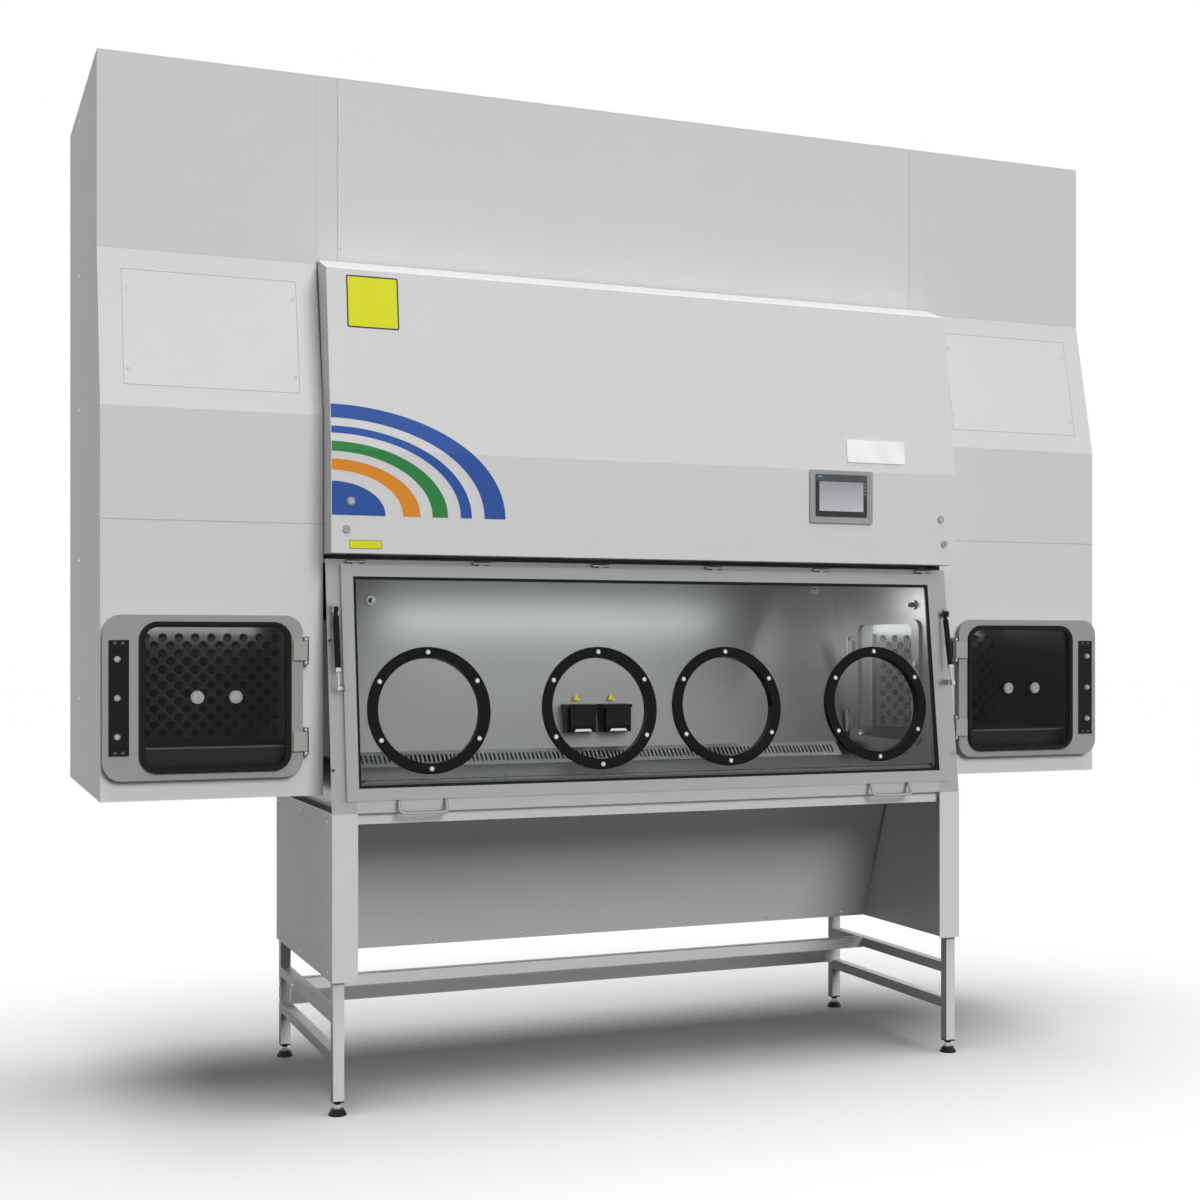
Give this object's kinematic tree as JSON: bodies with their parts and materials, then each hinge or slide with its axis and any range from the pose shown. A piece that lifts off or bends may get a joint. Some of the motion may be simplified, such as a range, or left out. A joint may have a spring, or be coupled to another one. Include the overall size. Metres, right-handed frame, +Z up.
{
  "type": "glove box isolator",
  "caption": "Free-standing glove box isolator: lifting glass front with glove ports, pass-through box with double doors in each side tower, control fascia, open tube stand.",
  "frame": {"origin": "centre of the footprint at floor level", "axes": "+X to the user's right along the width, +Y to the back, +Z up"},
  "size_m": [3.12, 1.0626, 2.885],
  "materials": {
    "stand_paint": "square steel tube, light grey powder coat",
    "black_plastic": "moulded black plastic",
    "foot_plastic": "glass-filled nylon pad on a steel stem",
    "skirt_paint": "folded steel sheet, light grey powder coat",
    "chamber_steel": "satin stainless sheet",
    "lamp_white": "translucent diffuser",
    "socket_black": "black moulded plastic",
    "fitting_steel": "turned stainless steel",
    "body_grey": "light grey satin powder coat on steel sheet",
    "panel_grey": "light grey satin powder coat",
    "filter_media": "pleated filter cell in a frame",
    "fan_grey": "painted fan housing with motor",
    "box_grey": "control box, hidden behind the fascia",
    "window_steel": "stainless window frame, satin",
    "glass_clear": "clear safety glass",
    "ring_black": "black moulded port ring",
    "handle_steel": "polished round bar",
    "pivot_steel": "hinges, pins and brackets",
    "cylinder_black": "black gas spring cylinder",
    "rod_chrome": "hard chromed rod",
    "screen_black": "touch panel with silver grey bezel",
    "lock_chrome": "quarter-turn lock",
    "door_grey": "mid grey coated door plate",
    "trim_black": "black rim, lock strip and gasket",
    "hardware_steel": "stainless hinges, domes and glass fittings",
    "knob_steel": "turned knob with a wing",
    "lid_black": "black lid of a socket"
  },
  "bodies": {
    "isolator": {"stand_side_frames": "stand_paint", "stand_cross_beams": "stand_paint", "leg_caps": "black_plastic", "side_skirts": "skirt_paint", "knee_panel": "skirt_paint", "rear_lower_panel": "skirt_paint", "chamber_shell": "chamber_steel", "chamber_base": "chamber_steel", "chamber_rear_wall": "chamber_steel", "rear_grille": "chamber_steel", "work_tray": "chamber_steel", "work_lamp": "lamp_white", "power_sockets": "socket_black", "spray_fittings": "fitting_steel", "fixed_pivots": "pivot_steel", "centre_housing": "body_grey", "centre_front_cover": "body_grey", "hepa_filters": "filter_media", "circulation_fan": "fan_grey", "control_box": "box_grey", "tower_tops": "body_grey", "tower_middles": "body_grey", "access_covers": "panel_grey", "back_covers": "body_grey", "passbox_housings": "body_grey", "passbox_liners": "chamber_steel", "passbox_trays_and_panels": "chamber_steel"},
    "window": {"window_frame": "window_steel", "window_pane": "glass_clear", "port_rings": "ring_black", "window_handles": "handle_steel", "window_pivots": "pivot_steel"},
    "gas_cylinder_left": {"gas_spring_cylinder_left": "cylinder_black"},
    "gas_cylinder_right": {"gas_spring_cylinder_right": "cylinder_black"},
    "gas_rod_left": {"gas_spring_rod_left": "rod_chrome"},
    "gas_rod_right": {"gas_spring_rod_right": "rod_chrome"},
    "fascia": {"fascia_panel": "panel_grey", "touch_panel": "screen_black"},
    "cam_left": {"cam_lock_left": "lock_chrome"},
    "cam_right": {"cam_lock_right": "lock_chrome"},
    "left_outer_door": {"left_door_leaf": "door_grey", "left_door_trim": "trim_black", "left_door_pane": "glass_clear", "left_door_hardware": "hardware_steel"},
    "right_outer_door": {"right_door_leaf": "door_grey", "right_door_trim": "trim_black", "right_door_pane": "glass_clear", "right_door_hardware": "hardware_steel"},
    "left_chamber_door": {"left_inner_door": "chamber_steel", "left_inner_pane": "glass_clear"},
    "right_chamber_door": {"right_inner_door": "chamber_steel", "right_inner_pane": "glass_clear"},
    "left_knob": {"left_inner_knob": "knob_steel"},
    "right_knob": {"right_inner_knob": "knob_steel"},
    "lid_left": {"socket_lid_left": "lid_black"},
    "lid_right": {"socket_lid_right": "lid_black"},
    "levelling_front_left": {"foot_front_left": "foot_plastic"},
    "levelling_front_right": {"foot_front_right": "foot_plastic"},
    "levelling_rear_left": {"foot_rear_left": "foot_plastic"},
    "levelling_rear_right": {"foot_rear_right": "foot_plastic"}
  },
  "joints": [
    {"name": "window_hinge", "type": "hinge", "parent": "isolator", "child": "window", "pos_m": [0, -0.42988, 1.48213], "axis": [-1, 0, 0], "range_deg": [0, 60]},
    {"name": "fascia_hinge", "type": "hinge", "parent": "isolator", "child": "fascia", "pos_m": [0, -0.32641, 2.303], "axis": [-1, 0, 0], "range_deg": [0, 60]},
    {"name": "left_cylinder_swing", "type": "hinge", "parent": "isolator", "child": "gas_cylinder_left", "pos_m": [-0.957, -0.45841, 1.351], "axis": [-1, 0, 0], "range_deg": [0, 82.94]},
    {"name": "left_rod_slide", "type": "slide", "parent": "gas_cylinder_left", "child": "gas_rod_left", "axis": [0, -0.1863, -0.9825], "range_m": [0, 0.08789]},
    {"name": "left_cam_turn", "type": "hinge", "parent": "fascia", "child": "cam_left", "pos_m": [-0.934, -0.48851, 1.565], "axis": [0, -1, 0], "range_deg": [0, 90]},
    {"name": "left_outer_door_hinge", "type": "hinge", "parent": "isolator", "child": "left_outer_door", "pos_m": [-1.027, -0.41041, 1.118], "axis": [0, 0, 1], "range_deg": [0, 90]},
    {"name": "left_chamber_door_hinge", "type": "hinge", "parent": "isolator", "child": "left_chamber_door", "pos_m": [-0.926, 0.08759, 1.118], "axis": [0, 0, 1], "range_deg": [0, 80]},
    {"name": "left_knob_turn", "type": "hinge", "parent": "left_chamber_door", "child": "left_knob", "pos_m": [-0.93, -0.33441, 1.195], "axis": [1, 0, 0], "range_deg": [0, 90]},
    {"name": "right_cylinder_swing", "type": "hinge", "parent": "isolator", "child": "gas_cylinder_right", "pos_m": [0.957, -0.45841, 1.351], "axis": [-1, 0, 0], "range_deg": [0, 82.94]},
    {"name": "right_rod_slide", "type": "slide", "parent": "gas_cylinder_right", "child": "gas_rod_right", "axis": [0, -0.1863, -0.9825], "range_m": [0, 0.08789]},
    {"name": "right_cam_turn", "type": "hinge", "parent": "fascia", "child": "cam_right", "pos_m": [0.934, -0.48851, 1.565], "axis": [0, 1, 0], "range_deg": [0, 90]},
    {"name": "right_outer_door_hinge", "type": "hinge", "parent": "isolator", "child": "right_outer_door", "pos_m": [1.027, -0.41041, 1.118], "axis": [0, 0, -1], "range_deg": [0, 90]},
    {"name": "right_chamber_door_hinge", "type": "hinge", "parent": "isolator", "child": "right_chamber_door", "pos_m": [0.926, 0.08759, 1.118], "axis": [0, 0, -1], "range_deg": [0, 80]},
    {"name": "right_knob_turn", "type": "hinge", "parent": "right_chamber_door", "child": "right_knob", "pos_m": [0.93, -0.33441, 1.195], "axis": [1, 0, 0], "range_deg": [0, 90]},
    {"name": "left_lid_hinge", "type": "hinge", "parent": "isolator", "child": "lid_left", "pos_m": [-0.046, 0.06444, 1.061], "axis": [-1, 0, 0], "range_deg": [0, 95]},
    {"name": "right_lid_hinge", "type": "hinge", "parent": "isolator", "child": "lid_right", "pos_m": [0.074, 0.06444, 1.061], "axis": [-1, 0, 0], "range_deg": [0, 95]},
    {"name": "front_left_foot_thread", "type": "hinge", "parent": "isolator", "child": "levelling_front_left", "pos_m": [-0.956, -0.47541, 0.02], "axis": [0, 0, 1], "continuous": true},
    {"name": "front_right_foot_thread", "type": "hinge", "parent": "isolator", "child": "levelling_front_right", "pos_m": [0.956, -0.47541, 0.02], "axis": [0, 0, 1], "continuous": true},
    {"name": "rear_left_foot_thread", "type": "hinge", "parent": "isolator", "child": "levelling_rear_left", "pos_m": [-0.956, 0.22959, 0.02], "axis": [0, 0, 1], "continuous": true},
    {"name": "rear_right_foot_thread", "type": "hinge", "parent": "isolator", "child": "levelling_rear_right", "pos_m": [0.956, 0.22959, 0.02], "axis": [0, 0, 1], "continuous": true}
  ],
  "couplings": [
    {"joint": "left_cylinder_swing", "follows": "window_hinge", "ratio": 1.3824},
    {"joint": "left_rod_slide", "follows": "window_hinge", "m_per_rad": 0.08393},
    {"joint": "right_cylinder_swing", "follows": "window_hinge", "ratio": 1.3824},
    {"joint": "right_rod_slide", "follows": "window_hinge", "m_per_rad": 0.08393}
  ]
}
